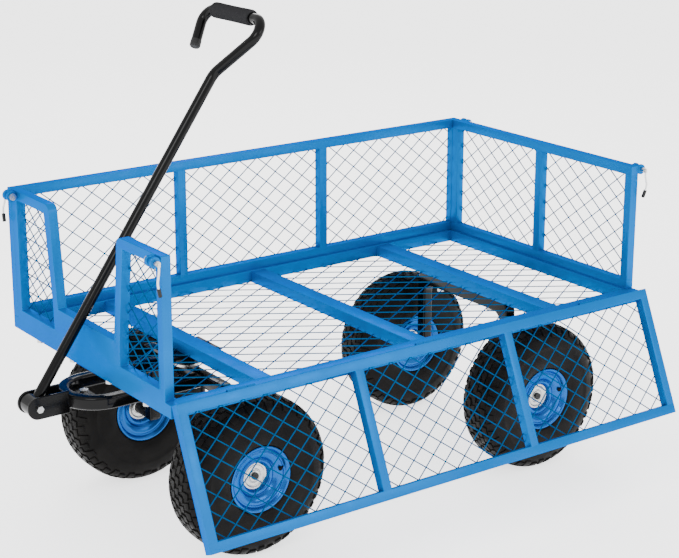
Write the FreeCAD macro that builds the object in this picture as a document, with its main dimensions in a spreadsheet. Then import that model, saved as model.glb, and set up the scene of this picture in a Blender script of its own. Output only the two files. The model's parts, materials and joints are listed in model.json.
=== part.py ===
import FreeCAD, Part
import math
import os
import re
import types

# Garden cart: steel bed on a steered front axle and a fixed rear axle, four fences,
# three of which fold down, and a pull handle with a loop grip.
# Working axes: +X to the rear from the bed's front face, Y across from the middle plane
# (left side at -Y, as seen from behind the cart), +Z up from the ground. Every sub-part is
# then placed back by origin_x and origin_y, the middle of the whole cart's footprint.

V = FreeCAD.Vector
X_AXIS = V(1, 0, 0)
Y_AXIS = V(0, 1, 0)
Z_AXIS = V(0, 0, 1)

SIZES = {
    # middle of the footprint, in the working axes
    "origin_x": 427.375,
    "origin_y": -49.384,
    # bed
    "bed_length": 950,
    "bed_width": 516,
    "bed_bottom": 285,
    "bed_top": 306,
    "rail_width": 22,
    "member_width": 30,
    "member_drop": 1,
    "front_member_x": 175,
    "middle_member_x": 475,
    "rear_member_x": 762,
    # fences: square tube frames standing on the bed's rim
    "tube": 16,
    "fence_height": 221,
    "end_fence_width": 483,
    "side_divider_x": 315.5,
    "rear_divider_x": 229,
    "side_fold_angle": 156.7,
    # woven wire in the fences and under the load
    "wire": 2.2,
    "wire_inset": 0.9,
    "mesh_pitch_along": 39.4,
    "mesh_pitch_up": 31.7,
    "floor_pitch_along": 62,
    "floor_pitch_across": 41,
    "floor_wire_bottom": 286,
    # where two wires cross: along each fence and up from its foot, the front one across
    "left_crossing": 58.5,
    "left_crossing_up": 189.7,
    "right_crossing": 47.5,
    "right_crossing_up": 188.7,
    "rear_crossing": 87.6,
    "rear_crossing_up": 187,
    "front_crossing": 130.7,
    "front_crossing_up": 188.7,
    # front fence: two leaning posts with a gap between them over a low plate
    "gap_plate_height": 53.5,
    "gap_half_low": 92,
    "gap_half_high": 111,
    "gap_corner_radius": 14,
    "window_low": 108,
    "window_bend_height": 62,
    "window_bend": 110,
    "window_high": 128,
    # hinges of the folding fences
    "hinge_offset": 0.3,
    "knuckle_radius": 3.5,
    "relief_radius": 4,
    "hinge_pin_radius": 1.5,
    "hinge_bore_radius": 1.55,
    "middle_knuckle": 20,
    "outer_knuckle": 14,
    "knuckle_gap": 0.4,
    "side_hinge_inset": 120,
    "rear_hinge_inset": 80,
    # corner latches
    "latch_out": 8.5,
    "latch_z": 519,
    "latch_inner_y": 223,
    "latch_outer_y": 241,
    "latch_flange": 5,
    "latch_flange_radius": 8.75,
    "latch_neck_radius": 5.5,
    "latch_bore_radius": 4,
    "pin_radius": 3.95,
    "pin_head_radius": 5.5,
    "pin_head": 6,
    "pin_end_y": 249,
    "eye_length": 3,
    "eye_drop": 4,
    "eye_rise": 2,
    "lanyard_diameter": 3.2,
    "tip_radius": 3,
    "tip_length": 14,
    # wheels
    "wheel_radius": 130,
    "wheel_y": 180,
    "front_axle_x": 180,
    "rear_axle_x": 770,
    "tread_half": 26,
    "tyre_half": 43.5,
    "bead_radius": 50.3,
    "bead_half": 36.6,
    "flange_radius": 54.6,
    "flange_half": 39,
    "hub_radius": 22.5,
    "hub_half": 21,
    "hub_recess": 2.5,
    "axle_radius": 6,
    "axle_bore_radius": 6.05,
    "shoulder_radius": 10,
    "axle_end_y": 203,
    "clip_radius": 9,
    "clip_thickness": 1.2,
    "running_gap": 0.3,
    "tube_ring_radius": 90,
    "tube_section_radius": 31,
    "tube_wall": 2,
    "valve_radius": 3.5,
    "valve_hole_radius": 5,
    "valve_ring_radius": 36,
    "valve_angle": 12,
    "valve_end": 33,
    # steering yoke
    "bar_width": 20,
    "bar_bottom": 236,
    "bar_top": 258,
    "loop_x": 16.5,
    "loop_inner": 43,
    "arch_half": 128,
    "arch_leg": 22,
    "arch_corner": 20,
    "leg_bottom": 122.5,
    "pivot_x": -94.5,
    "pivot_z": 247,
    "ear_radius": 18,
    "ear_outer_y": 20,
    "ear_thickness": 5.5,
    "ear_end_x": -42,
    "gusset_bottom": 243,
    "gusset_thickness": 4,
    "gusset_end_x": 6,
    "gusset_bolt_x": -7,
    # bolts
    "bolt_radius": 4,
    "bolt_hole_radius": 4.05,
    "bolt_head_radius": 7.5,
    "bolt_head": 5.5,
    "nut_height": 6.5,
    "pivot_bolt_radius": 3,
    "pivot_hole_radius": 3.05,
    "pivot_head_radius": 5.8,
    # kingpin
    "kingpin_radius": 8,
    "kingpin_bore_radius": 8.05,
    "kingpin_bottom": 218,
    "bracket_length": 90,
    "bracket_width": 70,
    "bracket_plate": 5,
    "boss_radius": 22,
    "boss_bottom": 262,
    "washer": 3.7,
    "low_washer": 3,
    "low_washer_radius": 15,
    "kingpin_nut_radius": 13.8,
    "kingpin_nut": 12,
    # rear axle
    "rear_arch_half": 126,
    "rear_arch_bottom": 259.5,
    "rear_arch_corner": 20,
    "rear_arch_shoulder": 22,
    "rear_bolt_y": 70,
    # front fence bolts
    "fence_bolt_y": 175,
    "fence_bolt_inner_y": 60,
    "fence_bolt_top": 314,
    # handle, lying in its own plane: distances along the shaft from the pivot, and across
    "handle_angle": 54.9,
    "handle_radius": 8.5,
    "foot_radius": 16,
    "foot_half": 14,
    "shaft_end": 586.8,
    "grip_line": 691,
    "loop_left": -81.5,
    "loop_right": 118.2,
    "free_end_line": 632.8,
    "free_end_y": 93.9,
    "shaft_bend_radius": 30,
    "loop_bend_radius": 24,
    "end_bend_radius": 20,
    "grip_start": -21,
    "grip_end": 87,
    "grip_radius": 13,
    "grip_bore_radius": 8.6,
    "cap_radius": 8.9,
    "cap_length": 12,
}

# Lanyard routes, by corner: along X, outward from the cart's middle plane, and up, in mm
# from the underside of the pin's eye, where the cord leaves it straight down.
LANYARDS = {
    "front_left": [(0, 0, 0), (0, 0, -6), (-1.8, 0.8, -14), (-4.4, 2.2, -23.5), (-2.4, 1.2, -31)],
    "front_right": [(0, 0, 0), (0, 0, -6), (0.6, 3, -14), (-0.8, 7.6, -23), (-1.2, 5.4, -31)],
    "rear_left": [(0, 0, 0), (0, 0, -6), (0.8, 1.2, -13.5), (1.6, 3.4, -22.5), (1, 0.6, -31)],
    "rear_right": [(0, 0, 0), (0, 0, -6), (1.6, 1, -14.5), (2.4, 3.4, -23), (1.4, 1.4, -31.5)],
}

doc = FreeCAD.newDocument("garden_cart")
sheet = doc.addObject("Spreadsheet::Sheet", "Sizes")
for row, (alias, value) in enumerate(SIZES.items(), 1):
    sheet.set(f"A{row}", alias)
    sheet.set(f"B{row}", str(value))
    sheet.setAlias(f"B{row}", alias)
doc.recompute()

dim = types.SimpleNamespace(**{alias: float(sheet.get(alias)) for alias in SIZES})
nodes = []


# ---- building blocks ----

def bind(item, prop, formula):
    """Ties a property to the sheet: every word in the formula is an alias."""
    item.setExpression(prop, re.sub(r"[a-z]\w*", r"Sizes.\g<0>", str(formula)))


def bind_place(item, x, y, z):
    for part, formula in zip("xyz", (x, y, z)):
        bind(item, f"Placement.Base.{part}", formula)


def box(x, y, z, length, width, height):
    block = doc.addObject("Part::Box", "block")
    for prop, formula in zip(("Length", "Width", "Height"), (length, width, height)):
        bind(block, prop, formula)
    bind_place(block, x, y, z)
    return block


def rod(x, y, z, axis, radius, length):
    """A cylinder that starts at x, y, z and runs along axis."""
    bar = doc.addObject("Part::Cylinder", "rod")
    bar.Placement = FreeCAD.Placement(V(), FreeCAD.Rotation(Z_AXIS, axis))
    bind(bar, "Radius", radius)
    bind(bar, "Height", length)
    bind_place(bar, x, y, z)
    return bar


def hexagon(x, y, z, axis, radius, length):
    prism = doc.addObject("Part::Prism", "hexagon")
    prism.Polygon = 6
    prism.Placement = FreeCAD.Placement(V(), FreeCAD.Rotation(Z_AXIS, axis))
    bind(prism, "Circumradius", radius)
    bind(prism, "Height", length)
    bind_place(prism, x, y, z)
    return prism


def fuse(shapes):
    union = doc.addObject("Part::MultiFuse", "union")
    union.Shapes = shapes
    return union


def cut(base, tools):
    removed = tools[0] if len(tools) == 1 else fuse(tools)
    rest = doc.addObject("Part::Cut", "cut")
    rest.Base = base
    rest.Tool = removed
    return rest


def group(shapes):
    """Separate solids of one node."""
    compound = doc.addObject("Part::Compound", "group")
    compound.Links = shapes
    return compound


def node(label, item, place=("0", "0", "0"), rotation=FreeCAD.Rotation()):
    """Names a sub-part and puts it in the cart's frame."""
    item.Label = label
    item.Placement = FreeCAD.Placement(V(), rotation)
    x, y, z = place
    bind_place(item, f"{x} - origin_x", f"{y} - origin_y", z)
    nodes.append(item)


def chain(corners, radii, closed):
    """Straight runs between corners, joined by tangent arcs of the given radii."""
    count = len(corners)
    starts = []
    ends = []
    arcs = []
    for i, corner in enumerate(corners):
        radius = radii[i]
        before = corners[i - 1]
        after = corners[(i + 1) % count]
        if radius == 0 or (not closed and i in (0, count - 1)):
            starts.append(corner)
            ends.append(corner)
            arcs.append(None)
            continue
        back = (before - corner).normalize()
        ahead = (after - corner).normalize()
        half = back.getAngle(ahead) / 2
        reach = radius / math.tan(half)
        middle = (back + ahead).normalize() * (radius / math.sin(half) - radius)
        starts.append(corner + back * reach)
        ends.append(corner + ahead * reach)
        arcs.append(Part.Arc(starts[-1], corner + middle, ends[-1]))
    edges = []
    for i in range(count):
        if arcs[i]:
            edges.append(arcs[i])
        if closed or i < count - 1:
            edges.append(Part.LineSegment(ends[i], starts[(i + 1) % count]))
    return edges


def outline(points, radii=None):
    corners = [V(x, y, 0) for x, y in points]
    return chain(corners, radii or [0] * len(corners), True)


def origin_plane(body, role):
    return next(item for item in body.Origin.OriginFeatures if item.Role == role)


def profile(body, role, loops):
    sketch = body.newObject("Sketcher::SketchObject", "Profile")
    sketch.AttachmentSupport = [(origin_plane(body, role), "")]
    sketch.MapMode = "FlatFace"
    for loop in loops:
        sketch.addGeometry(loop)
    return sketch


def pad(role, loops, length, middle=False):
    """A body of one padded sketch on one of its origin planes."""
    body = doc.addObject("PartDesign::Body", "body")
    feature = body.newObject("PartDesign::Pad", "Pad")
    feature.Profile = profile(body, role, loops)
    bind(feature, "Length", length)
    if middle:
        feature.SideType = "Symmetric"
    return body


def turned(loops):
    """A body turned about its own Y axis, from a sketch of radius and width."""
    body = doc.addObject("PartDesign::Body", "body")
    sketch = profile(body, "XY_Plane", loops)
    feature = body.newObject("PartDesign::Revolution", "Revolution")
    feature.Profile = sketch
    feature.ReferenceAxis = (sketch, ["V_Axis"])
    feature.Angle = 360
    return body


def mirrored_loop(half):
    """Closes a half outline of radius and width by its mirror image in width."""
    return half + [(radius, -width) for radius, width in reversed(half)]


# ---- woven wire ----

def clip(polygon, window, inset):
    """Cuts a convex polygon to a convex window, inset on every side."""
    for i, start in enumerate(window):
        end = window[(i + 1) % len(window)]
        along = (end[0] - start[0], end[1] - start[1])
        scale = math.hypot(*along)
        normal = (-along[1] / scale, along[0] / scale)
        kept = []
        for j, here in enumerate(polygon):
            there = polygon[(j + 1) % len(polygon)]
            depth = [
                (spot[0] - start[0]) * normal[0] + (spot[1] - start[1]) * normal[1] - inset
                for spot in (here, there)
            ]
            if depth[0] >= 0:
                kept.append(here)
            if (depth[0] >= 0) != (depth[1] >= 0):
                share = depth[0] / (depth[0] - depth[1])
                kept.append(tuple(a + (b - a) * share for a, b in zip(here, there)))
        polygon = kept
        if not polygon:
            return []
    return polygon


def area(polygon):
    total = 0
    for (x1, y1), (x2, y2) in zip(polygon, polygon[1:] + polygon[:1]):
        total += x1 * y2 - x2 * y1
    return abs(total) / 2


def mesh_sheet(window, pitch_u, pitch_v, crossing, thickness):
    """A flat sheet over a convex window, given anticlockwise, with rows of diamond holes."""
    outer = Part.makePolygon([V(u, v, 0) for u, v in window + window[:1]])
    wires = [outer]
    slope = math.atan2(pitch_v, pitch_u)
    half_u = pitch_u / 2 - dim.wire / 2 / math.sin(slope)
    half_v = pitch_v / 2 - dim.wire / 2 / math.cos(slope)
    low_u = min(u for u, v in window)
    high_u = max(u for u, v in window)
    low_v = min(v for u, v in window)
    high_v = max(v for u, v in window)
    first_row = math.floor((low_v - crossing[1]) / (pitch_v / 2)) - 1
    last_row = math.ceil((high_v - crossing[1]) / (pitch_v / 2)) + 1
    first_column = math.floor((low_u - crossing[0]) / pitch_u) - 1
    last_column = math.ceil((high_u - crossing[0]) / pitch_u) + 1
    for row in range(first_row, last_row + 1):
        for column in range(first_column, last_column + 1):
            u = crossing[0] + (column + (0.5 if row % 2 == 0 else 0)) * pitch_u
            v = crossing[1] + row * pitch_v / 2
            diamond = [(u - half_u, v), (u, v - half_v), (u + half_u, v), (u, v + half_v)]
            hole = clip(diamond, window, dim.wire)
            if len(hole) > 2 and area(hole) > 2:
                wires.append(Part.makePolygon([V(a, b, 0) for a, b in hole + hole[:1]]))
    face = Part.makeFace(wires, "Part::FaceMakerBullseye")
    return face.extrude(V(0, 0, thickness))


def feature(shape):
    item = doc.addObject("Part::Feature", "shape")
    item.Shape = shape
    return item


def fence_mesh(windows, crossing):
    """Wire sheets of a fence in its own frame: along X, inward Y, up Z."""
    sheets = []
    for window in windows:
        wires = mesh_sheet(window, dim.mesh_pitch_along, dim.mesh_pitch_up, crossing, dim.wire)
        wires.rotate(V(), X_AXIS, 90)
        wires.translate(V(0, dim.wire_inset + dim.wire, 0))
        sheets.append(feature(wires))
    return group(sheets)


# ---- hinges: three knuckles on a pin, just outside the corner that the fence turns about ----

def hinge_rod(place, centre, start, radius, length):
    """A cylinder on a hinge line. place gives the line's x, y and z as formulas of the run."""
    axis, x, y, z = place
    along = f"({centre} + {start})"
    return rod(x.replace("RUN", along), y.replace("RUN", along), z, axis, radius, length)


FENCE_LINE = (X_AXIS, "RUN", "-hinge_offset", "hinge_offset")
LEFT_LINE = (X_AXIS, "RUN", "-bed_width / 2 - hinge_offset", "bed_top + hinge_offset")
RIGHT_LINE = (X_AXIS, "RUN", "bed_width / 2 + hinge_offset", "bed_top + hinge_offset")
REAR_LINE = (Y_AXIS, "bed_length + hinge_offset", "RUN - end_fence_width / 2", "bed_top + hinge_offset")
SIDE_HINGES = ("side_hinge_inset", "bed_length / 2", "bed_length - side_hinge_inset")
REAR_HINGES = ("rear_hinge_inset", "end_fence_width - rear_hinge_inset")
HALF_MIDDLE = "middle_knuckle / 2"
BED_STARTS = ("middle_knuckle / 2 + knuckle_gap", "-middle_knuckle / 2 - knuckle_gap - outer_knuckle")
HALF_PIN = "(middle_knuckle / 2 + knuckle_gap + outer_knuckle)"


def bed_knuckles(line, centre):
    return [hinge_rod(line, centre, start, "knuckle_radius", "outer_knuckle") for start in BED_STARTS]


def bed_reliefs(line, centre):
    start = "-middle_knuckle / 2 - knuckle_gap"
    room = hinge_rod(line, centre, start, "relief_radius", "middle_knuckle + 2 * knuckle_gap")
    return [room, pin_bore(line, centre)]


def pin_bore(line, centre):
    return hinge_rod(line, centre, f"-{HALF_PIN} - 1", "hinge_bore_radius", f"2 * {HALF_PIN} + 2")


def fence_knuckle(centre):
    return hinge_rod(FENCE_LINE, centre, f"-{HALF_MIDDLE}", "knuckle_radius", "middle_knuckle")


def fence_reliefs(centre):
    room = "outer_knuckle + 2 * knuckle_gap"
    right = hinge_rod(FENCE_LINE, centre, HALF_MIDDLE, "relief_radius", room)
    left = hinge_rod(FENCE_LINE, centre, f"-{HALF_MIDDLE} - ({room})", "relief_radius", room)
    return [right, left]


def hinge_pins(label, line, centres):
    pins = []
    for centre in centres:
        pins.append(hinge_rod(line, centre, f"-{HALF_PIN}", "hinge_pin_radius", f"2 * {HALF_PIN}"))
    node(label, group(pins))


# ---- bed ----

def bed():
    inner = "(bed_width - 2 * rail_width)"
    depth = "bed_top - bed_bottom"
    side_y = ("-bed_width / 2", "bed_width / 2 - rail_width")
    bars = [box("0", y, "bed_bottom", "bed_length", "rail_width", depth) for y in side_y]
    for x in ("0", "bed_length - rail_width"):
        bars.append(box(x, f"-{inner} / 2", "bed_bottom", "rail_width", inner, depth))
    for x in ("front_member_x", "middle_member_x", "rear_member_x"):
        start = f"{x} - member_width / 2"
        low = f"{depth} - member_drop"
        bars.append(box(start, f"-{inner} / 2", "bed_bottom", "member_width", inner, low))
    openings = []
    lines = [(LEFT_LINE, SIDE_HINGES), (RIGHT_LINE, SIDE_HINGES), (REAR_LINE, REAR_HINGES)]
    for line, centres in lines:
        for centre in centres:
            bars += bed_knuckles(line, centre)
            openings += bed_reliefs(line, centre)
    for y in ("-rear_bolt_y", "rear_bolt_y"):
        deep = "bed_top - 5 - bed_bottom"
        openings.append(rod("rear_axle_x", y, "bed_bottom", Z_AXIS, "bolt_hole_radius", deep))
    for y in ("-fence_bolt_y", "-fence_bolt_inner_y", "fence_bolt_inner_y", "fence_bolt_y"):
        openings.append(rod("tube / 2", y, "bed_bottom", Z_AXIS, "bolt_hole_radius", depth))
    node("bed_frame", cut(fuse(bars), openings))


def floor_mesh():
    half = dim.bed_width / 2 - dim.rail_width
    members = (dim.front_member_x, dim.middle_member_x, dim.rear_member_x)
    starts = [dim.rail_width] + [x + dim.member_width / 2 for x in members]
    ends = [x - dim.member_width / 2 for x in members] + [dim.bed_length - dim.rail_width]
    crossing = (dim.middle_member_x, 0)
    bays = []
    for start, end in zip(starts, ends):
        window = [(start, -half), (end, -half), (end, half), (start, half)]
        pitch = (dim.floor_pitch_along, dim.floor_pitch_across)
        bay = mesh_sheet(window, *pitch, crossing, dim.wire)
        bay.translate(V(0, 0, dim.floor_wire_bottom))
        bays.append(feature(bay))
    node("floor_mesh", group(bays))


# ---- fences ----

def fence_windows(width, dividers):
    """Window rectangles of a fence, left to right, from its dividers' left edges."""
    starts = [dim.tube] + [x + dim.tube for x in dividers]
    ends = list(dividers) + [width - dim.tube]
    top = dim.fence_height - dim.tube
    return [[(a, dim.tube), (b, dim.tube), (b, top), (a, top)] for a, b in zip(starts, ends)]


def fence_bars(width, dividers):
    inner = "fence_height - 2 * tube"
    bars = [box("0", "0", z, width, "tube", "tube") for z in ("0", "fence_height - tube")]
    for x in ["0"] + dividers + [f"{width} - tube"]:
        bars.append(box(x, "0", "tube", "tube", "tube", inner))
    return bars


def side_fence(side, place, rotation, crossing):
    dividers = ["side_divider_x", "bed_length - side_divider_x - tube"]
    bars = fence_bars("bed_length", dividers)
    openings = []
    for centre in SIDE_HINGES:
        bars.append(fence_knuckle(centre))
        openings += fence_reliefs(centre) + [pin_bore(FENCE_LINE, centre)]
    node(f"{side}_side_frame", cut(fuse(bars), openings), place, rotation)
    second = dim.bed_length - dim.side_divider_x - dim.tube
    windows = fence_windows(dim.bed_length, [dim.side_divider_x, second])
    node(f"{side}_side_mesh", fence_mesh(windows, crossing), place, rotation)


def spool(x, side):
    """A latch spool in the cart's working axes, its axis across, and the bore through it."""
    inner = "latch_inner_y" if side > 0 else "-latch_inner_y - latch_flange"
    outer = "latch_outer_y - latch_flange" if side > 0 else "-latch_outer_y"
    body = "latch_inner_y" if side > 0 else "-latch_outer_y"
    length = "latch_outer_y - latch_inner_y"
    reach = "latch_out + 1"
    web_x = x if x.startswith("-") else f"{x} - ({reach})"
    parts = [
        rod(x, inner, "latch_z", Y_AXIS, "latch_flange_radius", "latch_flange"),
        rod(x, outer, "latch_z", Y_AXIS, "latch_flange_radius", "latch_flange"),
        rod(x, body, "latch_z", Y_AXIS, "latch_neck_radius", length),
        box(web_x, body, "latch_z - latch_bore_radius", reach, length, "2 * latch_bore_radius"),
    ]
    bore = rod(x, f"{body} - 1", "latch_z", Y_AXIS, "latch_bore_radius", f"{length} + 2")
    return parts, bore


def rear_gate():
    """The frame is built where it stands, so that it shares the latches' places."""
    turn = FreeCAD.Rotation(Z_AXIS, 90)
    bars = fence_bars("end_fence_width", ["rear_divider_x"])
    openings = []
    for centre in REAR_HINGES:
        bars.append(fence_knuckle(centre))
        openings += fence_reliefs(centre) + [pin_bore(FENCE_LINE, centre)]
    panel = cut(fuse(bars), openings)
    panel.Placement = FreeCAD.Placement(V(), turn)
    bind_place(panel, "bed_length", "-end_fence_width / 2", "bed_top")
    parts = [panel]
    bores = []
    for side in (-1, 1):
        spool_parts, bore = spool("bed_length + latch_out", side)
        parts += spool_parts
        bores.append(bore)
    node("rear_gate_frame", cut(fuse(parts), bores))
    windows = fence_windows(dim.end_fence_width, [dim.rear_divider_x])
    place = ("bed_length", "-end_fence_width / 2", "bed_top")
    crossing = (dim.rear_crossing, dim.rear_crossing_up)
    node("rear_gate_mesh", fence_mesh(windows, crossing), place, turn)


def front_window(side):
    """One window of the front fence, anticlockwise: across, and up from the bed."""
    far = dim.end_fence_width / 2 - dim.tube
    top = dim.fence_height - dim.tube
    edge = [
        (dim.window_low, dim.tube),
        (far, dim.tube),
        (far, top),
        (dim.window_high, top),
        (dim.window_bend, dim.window_bend_height),
    ]
    return edge if side > 0 else [(-y, z) for y, z in reversed(edge)]


def front_fence():
    half = dim.end_fence_width / 2
    edge = [
        (-half, 0),
        (half, 0),
        (half, dim.fence_height),
        (dim.gap_half_high, dim.fence_height),
        (dim.gap_half_low, dim.gap_plate_height),
        (-dim.gap_half_low, dim.gap_plate_height),
        (-dim.gap_half_high, dim.fence_height),
        (-half, dim.fence_height),
    ]
    radii = [0, 0, 0, dim.gap_corner_radius, 0, 0, dim.gap_corner_radius, 0]
    windows = [front_window(side) for side in (-1, 1)]
    panel = pad("YZ_Plane", [outline(edge, radii)] + [outline(w) for w in windows], "tube")
    bind_place(panel, "0", "0", "bed_top")
    parts = [panel]
    openings = []
    for side in (-1, 1):
        spool_parts, bore = spool("-latch_out", side)
        parts += spool_parts
        openings.append(bore)
    for y in ("-fence_bolt_y", "-fence_bolt_inner_y", "fence_bolt_inner_y", "fence_bolt_y"):
        height = "fence_bolt_top - bed_top"
        openings.append(rod("tube / 2", y, "bed_top", Z_AXIS, "bolt_hole_radius", height))
    node("front_fence_frame", cut(fuse(parts), openings))
    crossing = (dim.front_crossing, dim.front_crossing_up)
    sheets = []
    for window in windows:
        wires = mesh_sheet(window, dim.mesh_pitch_along, dim.mesh_pitch_up, crossing, dim.wire)
        wires.rotate(V(), V(1, 1, 1), 120)
        wires.translate(V(dim.tube - dim.wire_inset - dim.wire, 0, dim.bed_top))
        sheets.append(feature(wires))
    node("front_fence_mesh", group(sheets))


def front_fence_bolts():
    bolts = []
    for y in ("-fence_bolt_y", "-fence_bolt_inner_y", "fence_bolt_inner_y", "fence_bolt_y"):
        head = hexagon("tube / 2", y, "bed_bottom - bolt_head", Z_AXIS, "bolt_head_radius", "bolt_head")
        length = "fence_bolt_top - bed_bottom"
        shank = rod("tube / 2", y, "bed_bottom", Z_AXIS, "bolt_radius", length)
        bolts.append(fuse([head, shank]))
    node("front_fence_bolts", group(bolts))


# ---- corner latches ----

def swept_cord(points, diameter):
    """A round cord along straight runs joined by tangent arcs, its radii and length printed."""
    radii = [0]
    for before, here, after in zip(points, points[1:], points[2:]):
        shorter = min((here - before).Length, (after - here).Length)
        turn = (here - before).getAngle(after - here)
        radii.append(0.45 * shorter / math.tan(turn / 2))
    radii.append(0)
    edges = [edge.toShape() for edge in chain(points, radii, False)]
    spine = Part.Wire(edges)
    ring = Part.Wire([Part.Circle(points[0], points[1] - points[0], diameter / 2).toShape()])
    cord = spine.makePipeShell([ring], True, True)
    ideal = math.pi * diameter ** 2 / 4 * spine.Length
    print("cord radii", [round(r, 1) for r in radii[1:-1]], "length", round(spine.Length, 1),
          "volume over ideal", round(cord.Volume / ideal, 4))
    return cord


def latch(corner, x, side):
    """Pin with its eye, lanyard and tip. The pin points outward from the middle plane."""
    outward = V(0, side, 0)
    centre = V(x, 0, dim.latch_z)
    head_start = centre + outward * (dim.latch_inner_y - dim.pin_head)
    shank_start = centre + outward * dim.latch_inner_y
    shank = Part.makeCylinder(dim.pin_radius, dim.pin_end_y - dim.latch_inner_y, shank_start, outward)
    head = Part.makeCylinder(dim.pin_head_radius, dim.pin_head, head_start, outward)
    dimple = Part.makeCylinder(dim.pin_radius / 2, dim.pin_head / 3, head_start, outward)
    eye_width = 2 * dim.eye_rise
    near_y = dim.pin_end_y if side > 0 else -dim.pin_end_y - dim.eye_length
    eye_corner = V(x - dim.eye_rise, near_y, dim.latch_z - dim.eye_drop)
    eye = Part.makeBox(eye_width, dim.eye_length, dim.eye_drop + dim.eye_rise, eye_corner)
    pin = head.cut(dimple).fuse([shank, eye]).removeSplitter()
    node(f"{corner}_latch_pin", feature(pin))
    start = centre + outward * (dim.pin_end_y + dim.eye_length / 2) - V(0, 0, dim.eye_drop)
    route = [start + V(dx, side * dy, dz) for dx, dy, dz in LANYARDS[corner]]
    node(f"{corner}_lanyard", feature(swept_cord(route, dim.lanyard_diameter)))
    along = (route[-1] - route[-2]).normalize()
    tip = Part.makeCylinder(dim.tip_radius, dim.tip_length, route[-1], along)
    rims = [edge for edge in tip.Edges if edge.Closed]
    node(f"{corner}_lanyard_tip", feature(tip.makeFillet(dim.tip_radius / 3, rims)))


# ---- wheels ----

def tyre_body():
    half = [
        (dim.bead_radius, dim.bead_half - 7),
        (dim.bead_radius, dim.bead_half),
        (dim.flange_radius + 0.8, dim.bead_half),
        (dim.flange_radius + 6, dim.tyre_half - 2.5),
        (dim.wheel_radius - 30, dim.tyre_half),
        (dim.wheel_radius - 9, dim.tyre_half - 5),
        (dim.wheel_radius, dim.tread_half),
    ]
    lining = [
        (dim.wheel_radius - 7, dim.tread_half - 4),
        (dim.wheel_radius - 16, dim.tyre_half - 9),
        (dim.wheel_radius - 30, dim.tyre_half - 5.5),
        (dim.flange_radius + 10, dim.tyre_half - 5.5),
        (dim.bead_radius + 4, dim.bead_half - 7),
    ]
    half_radii = [0, 0, 0, 6, 20, 8, 12]
    loop = mirrored_loop(half) + mirrored_loop(lining[::-1])[::-1]
    radii = half_radii + half_radii[::-1] + [0] * (2 * len(lining))
    return turned([outline(loop, radii)])


def rim_body():
    """Two pressed dishes and a well, welded round a hub tube: hollow inside."""
    hub = dim.hub_radius + 0.1
    skin = [
        (hub, dim.hub_half + 2),
        (hub + 3.4, dim.hub_half + 2),
        (hub + 4.4, dim.hub_half + 5),
        (hub + 11.4, dim.hub_half + 6),
        (hub + 12.4, dim.hub_half + 9),
        (hub + 19.4, dim.hub_half + 10),
        (hub + 20.9, dim.hub_half + 14),
        (hub + 25.4, dim.hub_half + 15),
        (hub + 26.9, dim.flange_half),
        (dim.flange_radius, dim.flange_half),
        (dim.flange_radius, dim.flange_half - 2),
        (dim.bead_radius - 0.3, dim.flange_half - 2),
        (dim.bead_radius - 0.3, dim.hub_half - 1),
        (dim.bead_radius - 4.3, dim.hub_half - 7),
    ]
    hollow = [
        (hub + 2, dim.hub_half),
        (hub + 10.4, dim.hub_half + 3.6),
        (hub + 18.4, dim.hub_half + 7.4),
        (hub + 21.7, dim.hub_half + 11.4),
        (hub + 25.3, dim.hub_half + 13),
        (hub + 25.3, dim.hub_half - 0.2),
        (hub + 21.3, dim.hub_half - 7.8),
    ]
    return turned([outline(mirrored_loop(skin)), outline(mirrored_loop(hollow))])


def bearing_body():
    bore = dim.axle_bore_radius
    half = [
        (bore, dim.hub_half - dim.hub_recess),
        (dim.hub_radius - 4.5, dim.hub_half - dim.hub_recess),
        (dim.hub_radius - 4, dim.hub_half),
        (dim.hub_radius, dim.hub_half),
        (dim.hub_radius, dim.hub_half - 7),
        (bore + 3, dim.hub_half - 7),
    ]
    return turned([outline(mirrored_loop(half))])


def valve_parts(radius, outward):
    """The stem runs in from the tube, through the well, and turns out through the dish."""
    lean = math.radians(dim.valve_angle)
    away = V(-math.cos(lean), 0, math.sin(lean)) if outward > 0 else V(math.cos(lean), 0, math.sin(lean))
    elbow = away * dim.valve_ring_radius
    ring_inner = dim.tube_ring_radius - dim.tube_section_radius + dim.tube_wall / 2
    radial = Part.makeCylinder(radius, ring_inner - dim.valve_ring_radius, elbow, away)
    axial = Part.makeCylinder(radius, dim.valve_end, elbow, Y_AXIS)
    ball = Part.makeSphere(radius, elbow)
    return [radial, axial, ball]


def wheel(corner, x, side):
    """Local +Y is outboard, and the left wheels are turned half round about Z."""
    turn = FreeCAD.Rotation(Z_AXIS, 0 if side > 0 else 180)
    place = (x, f"{side} * wheel_y", "wheel_radius")
    node(f"{corner}_tyre", tyre_body(), place, turn)
    holes = [feature(shape) for shape in valve_parts(dim.valve_hole_radius, -side)]
    node(f"{corner}_rim", cut(rim_body(), holes), place, turn)
    node(f"{corner}_hub_bearing", bearing_body(), place, turn)
    ring = Part.makeTorus(dim.tube_ring_radius, dim.tube_section_radius, V(), Y_AXIS)
    hollow = Part.makeTorus(dim.tube_ring_radius, dim.tube_section_radius - dim.tube_wall, V(), Y_AXIS)
    stem = valve_parts(dim.valve_radius, -side)
    tube = ring.fuse(stem).cut(hollow)
    node(f"{corner}_inner_tube", feature(tube), place, turn)


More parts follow.
